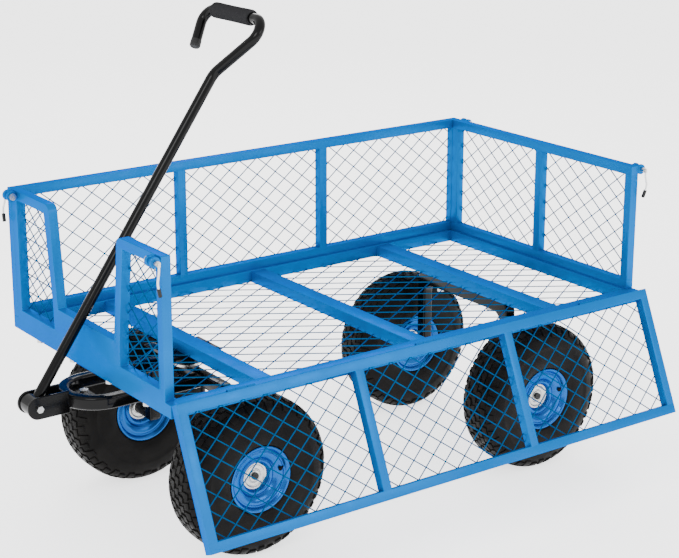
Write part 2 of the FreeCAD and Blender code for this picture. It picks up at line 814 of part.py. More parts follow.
def axle_pair(label, x):
    """Two stubs, welded through the legs, each with a shoulder that the wheel runs against."""
    stubs = []
    shoulder_end = "(wheel_y - hub_half + hub_recess - running_gap)"
    leg = "(arch_half - arch_leg)"
    for side, axis in ((-1, -Y_AXIS), (1, Y_AXIS)):
        sign = "-1 * " if side < 0 else ""
        shank = rod(x, f"{sign}{leg}", "wheel_radius", axis, "axle_radius", f"axle_end_y - {leg}")
        start = f"{sign}arch_half"
        length = f"{shoulder_end} - arch_half"
        shoulder = rod(x, start, "wheel_radius", axis, "shoulder_radius", length)
        stubs.append(fuse([shank, shoulder]))
    node(f"{label}_axle_stubs", group(stubs))
    clips = []
    start = "(wheel_y + hub_half - hub_recess + running_gap)"
    for sign, axis in (("-1 * ", -Y_AXIS), ("", Y_AXIS)):
        disc = rod(x, f"{sign}{start}", "wheel_radius", axis, "clip_radius", "clip_thickness")
        hole = rod(x, f"{sign}{start}", "wheel_radius", axis, "axle_radius", "clip_thickness")
        clips.append(cut(disc, [hole]))
    node(f"{label}_axle_clips", group(clips))


# ---- steering yoke ----

def yoke_loop():
    """The bar of the loop: two arms and a half-round front end, with eased edges."""
    inner = dim.loop_inner
    outer = inner + dim.bar_width
    arch_x = dim.front_axle_x - dim.bar_width / 2
    front = dim.loop_x
    edges = [
        Part.LineSegment(V(arch_x, outer, 0), V(front, outer, 0)),
        Part.Arc(V(front, outer, 0), V(front - outer, 0, 0), V(front, -outer, 0)),
        Part.LineSegment(V(front, -outer, 0), V(arch_x, -outer, 0)),
        Part.LineSegment(V(arch_x, -outer, 0), V(arch_x, -inner, 0)),
        Part.LineSegment(V(arch_x, -inner, 0), V(front, -inner, 0)),
        Part.Arc(V(front, -inner, 0), V(front - inner, 0, 0), V(front, inner, 0)),
        Part.LineSegment(V(front, inner, 0), V(arch_x, inner, 0)),
        Part.LineSegment(V(arch_x, inner, 0), V(arch_x, outer, 0)),
    ]
    loop = pad("XY_Plane", [edges], "bar_top - bar_bottom")
    bind_place(loop, "0", "0", "bar_bottom")
    return loop


def arch(half, leg, beam_bottom, beam_top, corner, shoulder, x):
    """An upside-down U across the cart, with the radii of its inner and outer corners."""
    bottom = dim.leg_bottom
    points = [
        (-half, bottom), (-half + leg, bottom), (-half + leg, beam_bottom), (half - leg, beam_bottom),
        (half - leg, bottom), (half, bottom), (half, beam_top), (-half, beam_top),
    ]
    radii = [0, 0, corner, corner, 0, 0, shoulder, shoulder]
    body = pad("YZ_Plane", [outline(points, radii)], "bar_width")
    bind_place(body, f"{x} - bar_width / 2", "0", "0")
    return body


def ears():
    """Two plates with round front ends, which hold the handle's pivot bolt."""
    plates = []
    for y in ("-ear_outer_y", "ear_outer_y - ear_thickness"):
        nose = rod("pivot_x", y, "pivot_z", Y_AXIS, "ear_radius", "ear_thickness")
        height = "2 * ear_radius"
        length = "ear_end_x - pivot_x"
        plate = box("pivot_x", y, "pivot_z - ear_radius", length, "ear_thickness", height)
        plates += [nose, plate]
    return plates


def gusset():
    """A web inside the loop's bend, with a bolt through it."""
    inner = dim.loop_inner + 1
    end = dim.gusset_end_x
    reach = math.sqrt(inner ** 2 - (dim.loop_x - end) ** 2)
    edges = [
        Part.LineSegment(V(end, -reach, 0), V(end, reach, 0)),
        Part.Arc(V(end, reach, 0), V(dim.loop_x - inner, 0, 0), V(end, -reach, 0)),
    ]
    web = pad("XY_Plane", [edges], "gusset_thickness")
    bind_place(web, "0", "0", "gusset_bottom")
    return web


def steering_yoke():
    front_arch = arch(dim.arch_half, dim.arch_leg, dim.bar_bottom, dim.bar_top,
                      dim.arch_corner, dim.arch_leg / 2, "front_axle_x")
    depth = "bar_top - bar_bottom"
    holes = [
        rod("front_axle_x", "0", "bar_bottom", Z_AXIS, "kingpin_bore_radius", depth),
        rod("pivot_x", "-ear_outer_y", "pivot_z", Y_AXIS, "pivot_hole_radius", "2 * ear_outer_y"),
        rod("gusset_bolt_x", "0", "gusset_bottom", Z_AXIS, "bolt_hole_radius", "gusset_thickness"),
        rod("front_axle_x", "-arch_half", "wheel_radius", Y_AXIS, "axle_radius", "arch_leg"),
        rod("front_axle_x", "arch_half - arch_leg", "wheel_radius", Y_AXIS, "axle_radius", "arch_leg"),
    ]
    node("steering_yoke", cut(fuse([yoke_loop(), front_arch, gusset()] + ears()), holes))


def yoke_hardware():
    head_y = "-ear_outer_y - bolt_head"
    head = hexagon("pivot_x", head_y, "pivot_z", Y_AXIS, "pivot_head_radius", "bolt_head")
    length = "2 * ear_outer_y + nut_height + 2"
    shank = rod("pivot_x", "-ear_outer_y", "pivot_z", Y_AXIS, "pivot_bolt_radius", length)
    node("handle_pivot_bolt", fuse([head, shank]))
    nut = hexagon("pivot_x", "ear_outer_y", "pivot_z", Y_AXIS, "pivot_head_radius", "nut_height")
    hole = rod("pivot_x", "ear_outer_y", "pivot_z", Y_AXIS, "pivot_bolt_radius", "nut_height")
    node("handle_pivot_nut", cut(nut, [hole]))
    head_z = "gusset_bottom - bolt_head"
    head = hexagon("gusset_bolt_x", "0", head_z, Z_AXIS, "bolt_head_radius", "bolt_head")
    top = "gusset_bottom + gusset_thickness"
    length = "gusset_thickness + nut_height + 1"
    shank = rod("gusset_bolt_x", "0", "gusset_bottom", Z_AXIS, "bolt_radius", length)
    bolt = fuse([head, shank])
    nut = hexagon("gusset_bolt_x", "0", top, Z_AXIS, "bolt_head_radius", "nut_height")
    hole = rod("gusset_bolt_x", "0", top, Z_AXIS, "bolt_radius", "nut_height")
    node("yoke_web_bolt", group([bolt, cut(nut, [hole])]))


def kingpin():
    """The pivot of the steering: a bracket under the bed, its pin, washers and nut."""
    plate = box("front_axle_x - bracket_length / 2", "-bracket_width / 2", "bed_bottom - bracket_plate",
                "bracket_length", "bracket_width", "bracket_plate")
    boss_height = "bed_bottom - bracket_plate - boss_bottom"
    boss = rod("front_axle_x", "0", "boss_bottom", Z_AXIS, "boss_radius", boss_height)
    bore = rod("front_axle_x", "0", "boss_bottom", Z_AXIS, "kingpin_bore_radius", "bed_bottom - boss_bottom")
    node("kingpin_bracket", cut(fuse([plate, boss]), [bore]))
    pin = rod("front_axle_x", "0", "kingpin_bottom", Z_AXIS, "kingpin_radius", "bed_bottom - kingpin_bottom")
    node("kingpin", group([pin]))
    nut_z = "bar_bottom - low_washer - running_gap - kingpin_nut"
    nut = hexagon("front_axle_x", "0", nut_z, Z_AXIS, "kingpin_nut_radius", "kingpin_nut")
    hole = rod("front_axle_x", "0", nut_z, Z_AXIS, "kingpin_radius", "kingpin_nut")
    node("kingpin_nut", cut(nut, [hole]))
    rings = []
    low_z = "bar_bottom - low_washer"
    for z, radius, height in (("bar_top", "boss_radius", "washer"), (low_z, "low_washer_radius", "low_washer")):
        ring = rod("front_axle_x", "0", z, Z_AXIS, radius, height)
        hole = rod("front_axle_x", "0", z, Z_AXIS, "kingpin_bore_radius", height)
        rings.append(cut(ring, [hole]))
    node("thrust_washers", group(rings))


# ---- rear axle ----

def rear_axle():
    leg = dim.rear_arch_half - dim.arch_half + dim.arch_leg
    body = arch(dim.rear_arch_half, leg, dim.rear_arch_bottom, dim.bed_bottom,
                dim.rear_arch_corner, dim.rear_arch_shoulder, "rear_axle_x")
    pads = []
    for y in ("-arch_half", "rear_arch_half"):
        ring_length = "arch_half - rear_arch_half"
        pads.append(rod("rear_axle_x", y, "wheel_radius", Y_AXIS, "shoulder_radius", ring_length))
    holes = []
    for y in ("-arch_half", "arch_half - arch_leg"):
        holes.append(rod("rear_axle_x", y, "wheel_radius", Y_AXIS, "axle_radius", "arch_leg"))
    for y in ("-rear_bolt_y", "rear_bolt_y"):
        depth = "bed_bottom - rear_arch_bottom"
        holes.append(rod("rear_axle_x", y, "rear_arch_bottom", Z_AXIS, "bolt_hole_radius", depth))
    node("rear_axle_frame", cut(fuse([body] + pads), holes))
    bolts = []
    for y in ("-rear_bolt_y", "rear_bolt_y"):
        head_z = "rear_arch_bottom - bolt_head"
        head = hexagon("rear_axle_x", y, head_z, Z_AXIS, "bolt_head_radius", "bolt_head")
        length = "bed_top - 6 - rear_arch_bottom"
        shank = rod("rear_axle_x", y, "rear_arch_bottom", Z_AXIS, "bolt_radius", length)
        bolts.append(fuse([head, shank]))
    node("rear_axle_bolts", group(bolts))


# ---- handle: built flat, along +X from the pivot, then leant back about it ----

def handle():
    lean = FreeCAD.Rotation(Y_AXIS, -dim.handle_angle)
    place = ("pivot_x", "0", "pivot_z")
    corners = [
        V(0, 0, 0),
        V(dim.shaft_end, 0, 0),
        V(dim.grip_line, dim.loop_left, 0),
        V(dim.grip_line, dim.loop_right, 0),
        V(dim.free_end_line, dim.free_end_y, 0),
    ]
    radii = [0, dim.shaft_bend_radius, dim.loop_bend_radius, dim.end_bend_radius, 0]
    body = doc.addObject("PartDesign::Body", "body")
    spine = profile(body, "XY_Plane", [chain(corners, radii, False)])
    section = profile(body, "YZ_Plane", [[Part.Circle(V(), Z_AXIS, dim.handle_radius)]])
    pipe = body.newObject("PartDesign::AdditivePipe", "Pipe")
    pipe.Profile = section
    pipe.Spine = spine
    foot = rod("0", "-foot_half", "0", Y_AXIS, "foot_radius", "2 * foot_half")
    hole = rod("0", "-foot_half", "0", Y_AXIS, "pivot_hole_radius", "2 * foot_half")
    node("handle_tube", cut(fuse([body, foot]), [hole]), place, lean)
    length = "grip_end - grip_start"
    sleeve = rod("grip_line", "grip_start", "0", Y_AXIS, "grip_radius", length)
    bore = rod("grip_line", "grip_start", "0", Y_AXIS, "grip_bore_radius", length)
    node("handle_grip", cut(sleeve, [bore]), place, lean)
    along = (corners[-1] - corners[-2]).normalize()
    cap = Part.makeCylinder(dim.cap_radius, dim.cap_length, corners[-1], along)
    far_edge = max((edge for edge in cap.Edges if edge.Closed), key=lambda e: e.CenterOfMass.dot(along))
    node("handle_end_cap", feature(cap.makeFillet(dim.cap_length / 4, [far_edge])), place, lean)


bed()
floor_mesh()
front_fence()
front_fence_bolts()
flip = FreeCAD.Rotation(Z_AXIS, 180)
folded = FreeCAD.Rotation(X_AXIS, dim.side_fold_angle)
# the left fence is drawn folded down: turned about its hinge line, which runs off its corner
swing = folded.multVec(V(0, dim.hinge_offset, -dim.hinge_offset))
left_y = round(swing.y - dim.bed_width / 2 - dim.hinge_offset, 4)
left_z = round(swing.z + dim.bed_top + dim.hinge_offset, 4)
left_crossing = (dim.left_crossing, dim.left_crossing_up)
right_crossing = (dim.right_crossing, dim.right_crossing_up)
side_fence("left", ("0", str(left_y), str(left_z)), folded, left_crossing)
side_fence("right", ("bed_length", "bed_width / 2", "bed_top"), flip, right_crossing)
rear_gate()
hinge_pins("left_hinge_pins", LEFT_LINE, SIDE_HINGES)
hinge_pins("right_hinge_pins", RIGHT_LINE, SIDE_HINGES)
hinge_pins("rear_hinge_pins", REAR_LINE, REAR_HINGES)
for corner, x, side in (
    ("front_left", -dim.latch_out, -1),
    ("front_right", -dim.latch_out, 1),
    ("rear_left", dim.bed_length + dim.latch_out, -1),
    ("rear_right", dim.bed_length + dim.latch_out, 1),
):
    latch(corner, x, side)
steering_yoke()
yoke_hardware()
kingpin()
rear_axle()
axle_pair("front", "front_axle_x")
axle_pair("rear", "rear_axle_x")
for corner, x, side in (
    ("front_left", "front_axle_x", -1),
    ("front_right", "front_axle_x", 1),
    ("rear_left", "rear_axle_x", -1),
    ("rear_right", "rear_axle_x", 1),
):
    wheel(corner, x, side)
handle()

doc.recompute()
faults = [item.Name for item in doc.Objects if {"Invalid", "Error"} & set(item.State)]
faults += [item.Label for item in nodes if item.Shape.isNull() or not item.Shape.isValid()]
if faults:
    raise RuntimeError(f"failed objects: {faults}")
os.makedirs("parts", exist_ok=True)
for item in nodes:
    item.Shape.exportStep(f"parts/{item.Label}.step")
whole = Part.makeCompound([item.Shape for item in nodes]).BoundBox
print("nodes", len(nodes), "box", whole)
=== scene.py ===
import json
import math

import bmesh
import bpy
from mathutils import Matrix, Vector


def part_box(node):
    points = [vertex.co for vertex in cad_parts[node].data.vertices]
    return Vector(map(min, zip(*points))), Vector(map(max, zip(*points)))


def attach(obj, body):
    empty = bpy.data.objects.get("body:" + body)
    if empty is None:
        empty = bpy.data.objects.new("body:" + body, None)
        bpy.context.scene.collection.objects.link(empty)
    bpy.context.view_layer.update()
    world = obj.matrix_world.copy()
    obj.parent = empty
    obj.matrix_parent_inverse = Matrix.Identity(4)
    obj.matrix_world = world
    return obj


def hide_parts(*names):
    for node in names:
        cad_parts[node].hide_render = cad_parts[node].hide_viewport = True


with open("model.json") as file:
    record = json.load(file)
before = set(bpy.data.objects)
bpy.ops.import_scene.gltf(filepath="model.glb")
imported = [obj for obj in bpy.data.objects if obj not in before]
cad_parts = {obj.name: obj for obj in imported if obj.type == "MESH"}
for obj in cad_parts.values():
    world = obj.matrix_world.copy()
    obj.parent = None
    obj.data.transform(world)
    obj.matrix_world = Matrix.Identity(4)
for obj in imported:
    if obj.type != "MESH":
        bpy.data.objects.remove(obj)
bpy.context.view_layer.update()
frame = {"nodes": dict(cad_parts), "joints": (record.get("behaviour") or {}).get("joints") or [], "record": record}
JOINTS = {joint["name"]: joint for joint in frame["joints"]}


def pivot(name):
    return Vector(JOINTS[name]["pos_m"])


# ---- places and sizes, in metres, from the frame ----

MID_Y = pivot("handle_pitch").y
BED_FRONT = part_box("bed_frame")[0][0]
BED_LENGTH = 0.950
BED_WIDTH = 0.516
BED_TOP = 0.306
BED_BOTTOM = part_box("bed_frame")[0][2]
RAIL = 0.022  # width of the bed's rim bars
MEMBER = 0.030  # width of its cross members
MEMBERS = (0.175, 0.475, 0.762)
MEMBER_TOP = 0.305
TUBE = 0.016  # side of the fences' square tube
FENCE_HEIGHT = 0.221
END_WIDTH = 0.483  # width of the front fence and the rear gate
SIDE_DIVIDERS = (0.3155, 0.6185)
REAR_DIVIDERS = (0.229,)
FOLD = math.radians(156.7)
EASE = 0.0007  # rounding of a bar's edges
WELD = 0.0008  # how far welded bars run into each other


def at(x, y, z):
    """A point measured from the bed's front, the middle plane and the ground."""
    return Vector((BED_FRONT + x, MID_Y + y, z))


def turned(axis, angle):
    return Matrix.Rotation(angle, 4, axis)


def moved(*place):
    return Matrix.Translation(Vector(place[0]) if len(place) == 1 else Vector(place))


# A fence is drawn lying along X, its outer face at Y = 0 and its foot at Z = 0.
# The hinge line runs just outside that corner.
HINGE = 0.0003
LEFT_HINGE = at(0, -BED_WIDTH / 2 - HINGE, BED_TOP + HINGE)
LEFT_PLACE = moved(LEFT_HINGE) @ turned("X", FOLD) @ moved(0, HINGE, -HINGE)
RIGHT_PLACE = moved(at(BED_LENGTH, BED_WIDTH / 2, BED_TOP)) @ turned("Z", math.pi)
REAR_PLACE = moved(at(BED_LENGTH, -END_WIDTH / 2, BED_TOP)) @ turned("Z", math.pi / 2)

UPRIGHT = turned("X", math.pi / 2)  # stands an outline up, facing the cart's side
CROSSWISE = Matrix(((0, 0, 1, 0), (1, 0, 0, 0), (0, 1, 0, 0), (0, 0, 0, 1)))  # and facing its end


# ---- camera and light ----

CAMERA_PLACE = Vector((-1.592934, -2.231350, 1.217975))
CAMERA_AZIMUTH = math.radians(-35.736)
CAMERA_ELEVATION = math.radians(16.390)


def camera():
    data = bpy.data.cameras.new("camera")
    data.sensor_width = 36
    data.lens = 91.21
    data.shift_x = 0.00855
    data.shift_y = -0.03652
    obj = bpy.data.objects.new("camera", data)
    obj.rotation_euler = (math.pi / 2 - CAMERA_ELEVATION, 0, CAMERA_AZIMUTH)
    obj.location = CAMERA_PLACE
    bpy.context.scene.collection.objects.link(obj)
    bpy.context.scene.camera = obj


def area_light(name, place, target, size, power):
    data = bpy.data.lights.new(name, "AREA")
    data.shape = "RECTANGLE"
    data.size = size
    data.size_y = size * 0.7
    data.energy = power
    obj = bpy.data.objects.new(name, data)
    obj.location = place
    obj.rotation_euler = (Vector(target) - Vector(place)).to_track_quat("-Z", "Y").to_euler()
    bpy.context.scene.collection.objects.link(obj)


def lights():
    world = bpy.data.worlds.new("studio")
    world.use_nodes = True
    background = world.node_tree.nodes["Background"]
    background.inputs["Color"].default_value = (1, 1, 1, 1)
    background.inputs["Strength"].default_value = 1.8
    bpy.context.scene.world = world
    area_light("key", (-2.6, -1.8, 2.6), (0, 0, 0.2), 1.6, 48)
    area_light("fill", (1.2, -3.2, 1.6), (0, 0, 0.2), 1.6, 28)
    area_light("rim", (1.6, 2.6, 2.4), (0, 0, 0.3), 1.6, 34)


# ---- materials ----

class Shader:
    """A node material with one Principled shader and short calls to wire it."""

    def __init__(self, name, colour, roughness, metallic=0.0, edge=(1, 1, 1), specular=0.0):
        self.material = bpy.data.materials.new(name)
        self.material.use_nodes = True
        self.tree = self.material.node_tree
        self.shader = self.tree.nodes["Principled BSDF"]
        self.shader.inputs["Base Color"].default_value = (*colour, 1)
        self.shader.inputs["Roughness"].default_value = roughness
        self.shader.inputs["Metallic"].default_value = metallic
        self.shader.inputs["Specular IOR Level"].default_value = specular
        self.shader.inputs["Specular Tint"].default_value = (*edge, 1)
        self.place = self.tree.nodes.new("ShaderNodeTexCoord").outputs["Object"]

    def add(self, kind, **settings):
        node = self.tree.nodes.new("ShaderNode" + kind)
        for name, value in settings.items():
            setattr(node, name, value)
        return node

    def link(self, start, end):
        self.tree.links.new(start, end)

    def noise(self, scale, detail=3.0, stretch=None, roughness=0.5):
        node = self.add("TexNoise")
        node.inputs["Scale"].default_value = scale
        node.inputs["Detail"].default_value = detail
        node.inputs["Roughness"].default_value = roughness
        source = self.place
        if stretch:
            mapping = self.add("Mapping")
            mapping.inputs["Scale"].default_value = stretch
            self.link(source, mapping.inputs["Vector"])
            source = mapping.outputs["Vector"]
        self.link(source, node.inputs["Vector"])
        return node.outputs["Fac"]

    def ramp(self, source, low, high, start=0.0, end=1.0):
        node = self.add("MapRange")
        node.inputs["From Min"].default_value = start
        node.inputs["From Max"].default_value = end
        node.inputs["To Min"].default_value = low
        node.inputs["To Max"].default_value = high
        self.link(source, node.inputs["Value"])
        return node.outputs["Result"]

    def mix(self, factor, first, second):
        node = self.add("Mix", data_type="RGBA")
        self.link(factor, node.inputs["Factor"])
        for source, end in ((first, node.inputs["A"]), (second, node.inputs["B"])):
            if isinstance(source, tuple):
                end.default_value = (*source, 1)
            else:
                self.link(source, end)
        return node.outputs["Result"]

    def colour(self, source):
        self.link(source, self.shader.inputs["Base Color"])

    def roughness(self, source):
        self.link(source, self.shader.inputs["Roughness"])

    def bump(self, source, distance, strength=1.0, before=None):
        node = self.add("Bump")
        node.inputs["Distance"].default_value = distance
        node.inputs["Strength"].default_value = strength
        self.link(source, node.inputs["Height"])
        if before:
            self.link(before, node.inputs["Normal"])
        self.link(node.outputs["Normal"], self.shader.inputs["Normal"])
        return node.outputs["Normal"]


def powder_coat(name, colour, shade, gloss, sheen=0.4):
    """Sprayed and baked paint: a fine orange peel, cloudy gloss and a few rubbed marks."""
    paint = Shader(name, colour, gloss, sheen, (0.0, 0.3, 1.0))
    cloud = paint.noise(9, 4)
    rubbed = paint.ramp(paint.noise(60, 6, (1, 1, 0.15), 0.7), 0, 0.22, 0.62, 0.70)
    base = paint.mix(paint.ramp(cloud, 0, 1, 0.35, 0.65), colour, shade)
    light = tuple(c * 1.2 for c in colour)
    paint.colour(paint.mix(rubbed, base, light))
    paint.roughness(paint.ramp(paint.noise(30, 5), gloss - 0.06, gloss + 0.08, 0.3, 0.7))
    peel = paint.bump(paint.noise(900, 2), 0.00008, 0.5)
    paint.bump(paint.noise(60, 2), 0.0002, 0.25, peel)
    return paint.material


def gloss_black(name):
    paint = Shader(name, (0.0015, 0.0015, 0.0017), 0.12, specular=0.13)
    dust = paint.ramp(paint.noise(45, 6, None, 0.65), 0, 0.5, 0.55, 0.8)
    paint.colour(paint.mix(dust, (0.0015, 0.0015, 0.0017), (0.0050, 0.0050, 0.0052)))
    paint.roughness(paint.ramp(paint.noise(24, 5), 0.08, 0.2, 0.3, 0.7))
    paint.bump(paint.noise(300, 2), 0.00006, 0.3)
    return paint.material


def zinc(name):
    plate = Shader(name, (0.46, 0.46, 0.45), 0.3, 1.0)
    cloud = plate.noise(120, 5)
    plate.colour(plate.mix(cloud, (0.36, 0.36, 0.36), (0.60, 0.60, 0.58)))
    plate.roughness(plate.ramp(plate.noise(300, 4), 0.22, 0.42, 0.3, 0.7))
    plate.bump(plate.noise(700, 3), 0.00006, 0.4)
    return plate.material


def oiled_steel(name):
    steel = Shader(name, (0.020, 0.020, 0.022), 0.35, 0.7)
    steel.colour(steel.mix(steel.noise(150, 5), (0.014, 0.014, 0.016), (0.046, 0.045, 0.043)))
    steel.roughness(steel.ramp(steel.noise(260, 4), 0.25, 0.5, 0.3, 0.7))
    steel.bump(steel.noise(500, 3), 0.00008, 0.4)
    return steel.material


def tyre_rubber(name):
    rubber = Shader(name, (0.0035, 0.0034, 0.0033), 0.5, specular=0.06)
    cloud = rubber.ramp(rubber.noise(26, 5), 0, 1, 0.35, 0.7)
    rubber.colour(rubber.mix(cloud, (0.0028, 0.0026, 0.0025), (0.0060, 0.0055, 0.0050)))
    rubber.roughness(rubber.ramp(rubber.noise(70, 5), 0.36, 0.58, 0.3, 0.7))
    grain = rubber.bump(rubber.noise(1500, 2), 0.0001, 0.5)
    rubber.bump(rubber.noise(180, 4), 0.0003, 0.35, grain)
    return rubber.material


def foam(name):
    grip = Shader(name, (0.020, 0.020, 0.021), 0.85, 0.2, (0.2, 0.2, 0.2))
    grip.colour(grip.mix(grip.noise(400, 4), (0.014, 0.014, 0.015), (0.032, 0.032, 0.034)))
    cells = grip.add("TexVoronoi")
    cells.inputs["Scale"].default_value = 1400
    grip.link(grip.place, cells.inputs["Vector"])
    pores = grip.bump(cells.outputs["Distance"], 0.0003, 0.6)
    grip.bump(grip.noise(160, 3), 0.0004, 0.3, pores)
    return grip.material


def black_plastic(name):
    moulded = Shader(name, (0.007, 0.007, 0.007), 0.45, specular=0.2)
    cloud = moulded.noise(90, 4)
    moulded.colour(moulded.mix(cloud, (0.005, 0.005, 0.0052), (0.013, 0.013, 0.0132)))
    moulded.roughness(moulded.ramp(moulded.noise(200, 3), 0.38, 0.55, 0.3, 0.7))
    moulded.bump(moulded.noise(1200, 2), 0.00006, 0.4)
    return moulded.material


def coated_cord(name):
    cord = Shader(name, (0.78, 0.78, 0.77), 0.4, specular=0.3)
    cord.colour(cord.mix(cord.noise(500, 3), (0.70, 0.70, 0.69), (0.86, 0.86, 0.85)))
    cord.bump(cord.noise(2500, 2), 0.0001, 0.5)
    return cord.material


def floor_paint(name):
    card = Shader(name, (0.88, 0.88, 0.88), 0.9)
    card.colour(card.mix(card.noise(3, 3), (0.87, 0.87, 0.87), (0.90, 0.90, 0.90)))
    card.bump(card.noise(300, 3), 0.0002, 0.1)
    card.shader.inputs["Emission Color"].default_value = (1, 1, 1, 1)
    card.shader.inputs["Emission Strength"].default_value = 1.8
    return card.material


SLOT_MATERIALS = {
    "blue_paint": powder_coat("blue_paint", (0.0, 0.112, 0.360), (0.0, 0.101, 0.335), 0.34),
    "blue_wire": powder_coat("blue_wire", (0.0, 0.066, 0.170), (0.0, 0.056, 0.146), 0.36),
    "rim_blue": powder_coat("rim_blue", (0.014, 0.090, 0.310), (0.012, 0.078, 0.275), 0.2, 0.7),
    "black_gloss": gloss_black("black_gloss"),
    "zinc": zinc("zinc"),
    "dark_steel": oiled_steel("dark_steel"),
    "tyre_rubber": tyre_rubber("tyre_rubber"),
    "tube_rubber": tyre_rubber("tube_rubber"),
    "grip_foam": foam("grip_foam"),
    "black_plastic": black_plastic("black_plastic"),
    "cord_white": coated_cord("cord_white"),
}


def finish_cad_nodes():
    slots = {part["node"]: part["material_slot"] for part in frame["record"]["subparts"]}
    for name, obj in frame["nodes"].items():
        material = SLOT_MATERIALS[slots[name]]
        for i in range(max(1, len(obj.material_slots))):
            if not obj.material_slots:
                obj.data.materials.append(material)
            obj.material_slots[i].material = material


# ---- mesh building ----

SHARP = math.radians(40)


def piece(name, mesh, slot, body, nodes=(), smooth=True):
    obj = bpy.data.objects.new(name, mesh)
    bpy.context.scene.collection.objects.link(obj)
    if not mesh.materials:
        mesh.materials.append(SLOT_MATERIALS[slot])
    if smooth:
        mesh.shade_smooth()
        mesh.set_sharp_from_angle(angle=SHARP)
    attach(obj, body)
    if nodes:
        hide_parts(*nodes)
    return obj


def joined(name, parts):
    """One mesh from several bmeshes."""
    whole = bmesh.new()
    for part in parts:
        mesh = bpy.data.meshes.new("part")
        part.to_mesh(mesh)
        part.free()
        whole.from_mesh(mesh)
        bpy.data.meshes.remove(mesh)
    bmesh.ops.recalc_face_normals(whole, faces=whole.faces)
    mesh = bpy.data.meshes.new(name)
    whole.to_mesh(mesh)
    whole.free()
    return mesh


def bar(low, high, place=Matrix(), ease=EASE):
    """A square tube's outside: a box with rounded long edges."""
    box = bmesh.new()
    bmesh.ops.create_cube(box, size=1)
    low = Vector(low)
    size = Vector(high) - low
    for vert in box.verts:
        vert.co = low + Vector((vert.co[i] + 0.5) * size[i] for i in range(3))
    bmesh.ops.bevel(
        box, geom=box.edges[:], offset=ease, segments=3, profile=0.5, affect="EDGES")
    box.transform(place)
    return box


def plate(loops, depth, ease, place):
    """A flat outline with holes, given in X and Y, thickened along Z with rounded edges."""
    curve = bpy.data.curves.new("plate", "CURVE")
    curve.dimensions = "2D"
    curve.fill_mode = "BOTH"
    curve.extrude = depth / 2 - ease
    curve.bevel_depth = ease
    curve.bevel_resolution = 3
    curve.offset = -ease
    for loop in loops:
        spline = curve.splines.new("POLY")
        spline.points.add(len(loop) - 1)
        for point, (x, y) in zip(spline.points, loop):
            point.co = (x, y, 0, 1)
        spline.use_cyclic_u = True
    holder = bpy.data.objects.new("plate", curve)
    bpy.context.scene.collection.objects.link(holder)
    depsgraph = bpy.context.evaluated_depsgraph_get()
    mesh = bpy.data.meshes.new_from_object(holder.evaluated_get(depsgraph))
    part = bmesh.new()
    part.from_mesh(mesh)
    bmesh.ops.remove_doubles(part, verts=part.verts, dist=1e-6)
    part.transform(place @ moved(0, 0, depth / 2))
    bpy.data.objects.remove(holder)
    bpy.data.curves.remove(curve)
    bpy.data.meshes.remove(mesh)
    return part


def rounded(points, radii, steps=8):
    """Corner points with the given corner radii, as a closed outline."""
    outline = []
    for i, corner in enumerate(points):
        corner = Vector(corner)
        radius = radii[i]
        if not radius:
            outline.append(tuple(corner))
            continue
        back = (Vector(points[i - 1]) - corner).normalized()
        ahead = (Vector(points[(i + 1) % len(points)]) - corner).normalized()
        half = back.angle(ahead) / 2
        start = corner + back * radius / math.tan(half)
        end = corner + ahead * radius / math.tan(half)
        centre = corner + (back + ahead).normalized() * radius / math.sin(half)
        first = math.atan2((start - centre).y, (start - centre).x)
        sweep = math.atan2((end - centre).y, (end - centre).x) - first
        sweep = (sweep + math.pi) % (2 * math.pi) - math.pi
        for k in range(steps + 1):
            angle = first + sweep * k / steps
            outline.append(tuple(centre + Vector((math.cos(angle), math.sin(angle))) * radius))
    return outline


def lathe(profile, steps, place=Matrix(), closed=True):
    """Turns a profile of radius and height about Z."""
    part = bmesh.new()
    rings = []
    for radius, height in profile:
        angles = (2 * math.pi * k / steps for k in range(steps))
        rings.append([
            part.verts.new((radius * math.cos(a), radius * math.sin(a), height)) for a in angles])
    pairs = list(zip(rings, rings[1:]))
    if closed:
        pairs.append((rings[-1], rings[0]))
    for first, second in pairs:
        for k in range(steps):
            after = (k + 1) % steps
            part.faces.new((first[k], first[after], second[after], second[k]))
    if not closed:
        part.faces.new(list(reversed(rings[0])))
        part.faces.new(rings[-1])
    part.transform(place)
    return part


def along(start, end):
    """Places Z from start towards end."""
    direction = Vector(end) - Vector(start)
    return moved(start) @ direction.to_track_quat("Z", "Y").to_matrix().to_4x4()


def rod(start, end, radius, steps=24, ease=0.0):
    length = (Vector(end) - Vector(start)).length
    profile = [(radius - ease, 0), (radius, ease), (radius, length - ease), (radius - ease, length)]
    if not ease:
        profile = [(radius, 0), (radius, length)]
    return lathe(profile, steps, along(start, end), closed=False)


# ---- woven wire ----

WIRE = 0.00095  # radius of a wire
WIRE_STEP = 0.0006  # how far each layer stands off the middle of the mesh
WIRE_DEPTH = 0.002  # how far the mesh lies inside a fence's outer face
WIRE_EMBED = 0.002  # how far a wire runs into the bars
SHORTEST_WIRE = 0.004
PITCH = (0.0394, 0.0317)  # a diamond's width and height in the fences
FLOOR_PITCH = (0.062, 0.041)


def clipped(start, end, window):
    """The part of a line inside a convex window given anticlockwise, or None."""
    low = 0.0
    high = 1.0
    run = end - start
    for i, corner in enumerate(window):
        corner = Vector(corner)
        edge = Vector(window[(i + 1) % len(window)]) - corner
        inward = Vector((-edge.y, edge.x))
        rise = inward.dot(run)
        depth = inward.dot(start - corner)
        if abs(rise) < 1e-12:
            if depth < 0:
                return None
            continue
        share = -depth / rise
        if rise > 0:
            low = max(low, share)
        else:
            high = min(high, share)
    if high - low < 1e-6:
        return None
    return start + run * low, start + run * high


